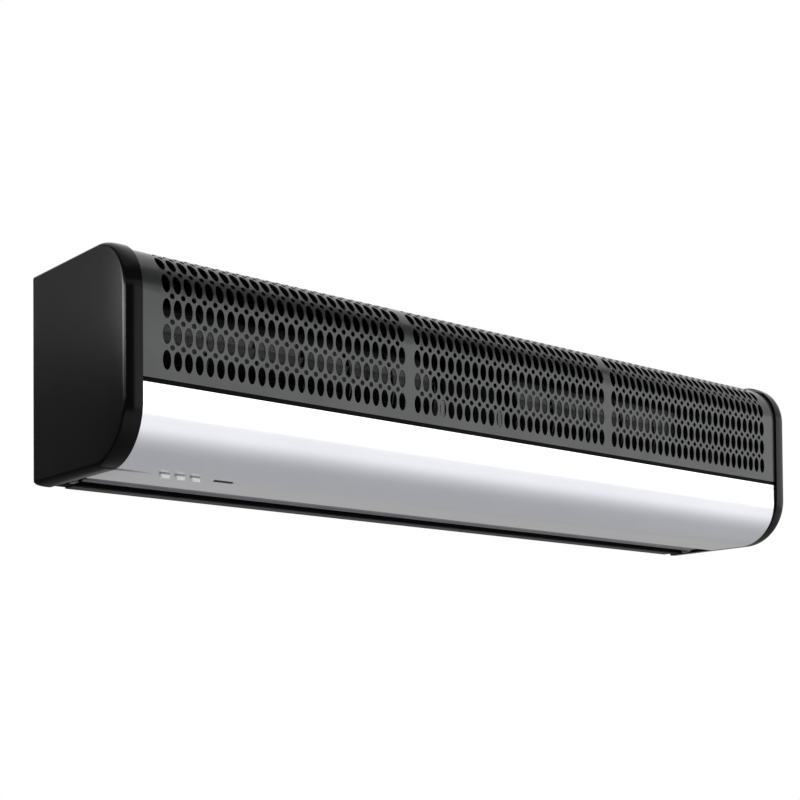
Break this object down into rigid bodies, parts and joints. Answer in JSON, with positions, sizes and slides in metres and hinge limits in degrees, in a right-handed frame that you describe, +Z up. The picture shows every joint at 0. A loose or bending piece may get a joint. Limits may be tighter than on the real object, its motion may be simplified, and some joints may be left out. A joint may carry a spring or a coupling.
{
  "type": "air curtain",
  "caption": "Wall-mounted cross-flow air curtain with a perforated intake grille over a bright curved cover, a downward air slot with a pivoting vane, and push buttons underneath.",
  "frame": {"origin": "centre of the rectangle of wall bolt holes, on the wall plane at the back of the wall plate", "axes": "+X along the housing towards the end without the buttons, +Y out of the back into the wall, +Z up; air leaves towards -Z"},
  "size_m": [1.04, 0.19, 0.2262],
  "materials": {
    "cap_plastic": "satin black moulding",
    "grille_paint": "dark grey satin powder coat",
    "cover_metal": "bright satin silver",
    "casing_paint": "dark grey powder coat",
    "duct_paint": "matt black powder coat",
    "bead_metal": "grey anodised",
    "vane_plastic": "matt black",
    "zinc": "zinc plated",
    "wheel_metal": "dull rolled sheet",
    "shaft_steel": "ground",
    "bearing_bronze": "sintered bronze",
    "rubber": "matt",
    "motor_steel": "grey enamel",
    "core_steel": "laminated steel",
    "copper": "enamelled copper wire",
    "lead_sheath": "black cable sheath",
    "board": "green circuit board",
    "blue_plastic": "relay cases",
    "white_plastic": "pale plastic",
    "button_plastic": "pale grey caps",
    "dark_plastic": "dark plastic",
    "window_plastic": "infrared clear black"
  },
  "bodies": {
    "housing": {"left_end_cap": "cap_plastic", "right_end_cap": "cap_plastic", "left_side_plate": "zinc", "right_side_plate": "zinc", "cap_screws": "zinc", "back_casing": "casing_paint", "casing_screws": "zinc", "wall_plate": "zinc", "cable_gland": "rubber", "grille_front": "grille_paint", "grille_corner": "grille_paint", "grille_top": "grille_paint", "front_cover": "cover_metal", "duct_front_wall": "duct_paint", "slot_bead": "bead_metal", "scroll_sheet": "duct_paint", "partition_plate": "zinc", "vane_bracket_left": "zinc", "vane_bracket_right": "zinc", "bearings": "bearing_bronze", "bearing_cups": "rubber", "motor_shell": "motor_steel", "motor_stator": "core_steel", "motor_windings": "copper", "motor_rings": "rubber", "motor_bracket": "zinc", "motor_clamps": "zinc", "motor_screws": "zinc", "motor_lead": "lead_sheath", "control_tray": "zinc", "control_board": "board", "board_pillars": "white_plastic", "board_relays": "blue_plastic", "run_capacitor": "white_plastic", "terminal_block": "white_plastic", "button_frame": "dark_plastic", "button_board": "board", "touch_switches": "dark_plastic", "receiver_window": "window_plastic", "receiver_eye": "dark_plastic"},
    "rotor": {"wheel_left": "wheel_metal", "wheel_right": "wheel_metal", "stub_shafts": "shaft_steel", "motor_shaft": "shaft_steel", "shaft_hubs": "dark_plastic", "hub_screws": "zinc", "motor_core": "core_steel"},
    "vane": {"air_vane": "vane_plastic", "vane_pins": "shaft_steel"},
    "button_left_body": {"button_left": "button_plastic"},
    "button_middle_body": {"button_middle": "button_plastic"},
    "button_right_body": {"button_right": "button_plastic"}
  },
  "joints": [
    {"name": "rotor_spin", "type": "hinge", "parent": "housing", "child": "rotor", "pos_m": [0, -0.098, -0.013], "axis": [1, 0, 0], "continuous": true},
    {"name": "vane_tilt", "type": "hinge", "parent": "housing", "child": "vane", "pos_m": [0, -0.037, -0.123], "axis": [1, 0, 0], "range_deg": [-35, 35]},
    {"name": "button_left_press", "type": "slide", "parent": "housing", "child": "button_left_body", "axis": [0, 0, 1], "range_m": [0, 0.001], "stiffness_N_per_m": 800, "springref_m": -0.001},
    {"name": "button_middle_press", "type": "slide", "parent": "housing", "child": "button_middle_body", "axis": [0, 0, 1], "range_m": [0, 0.001], "stiffness_N_per_m": 800, "springref_m": -0.001},
    {"name": "button_right_press", "type": "slide", "parent": "housing", "child": "button_right_body", "axis": [0, 0, 1], "range_m": [0, 0.001], "stiffness_N_per_m": 800, "springref_m": -0.001}
  ]
}
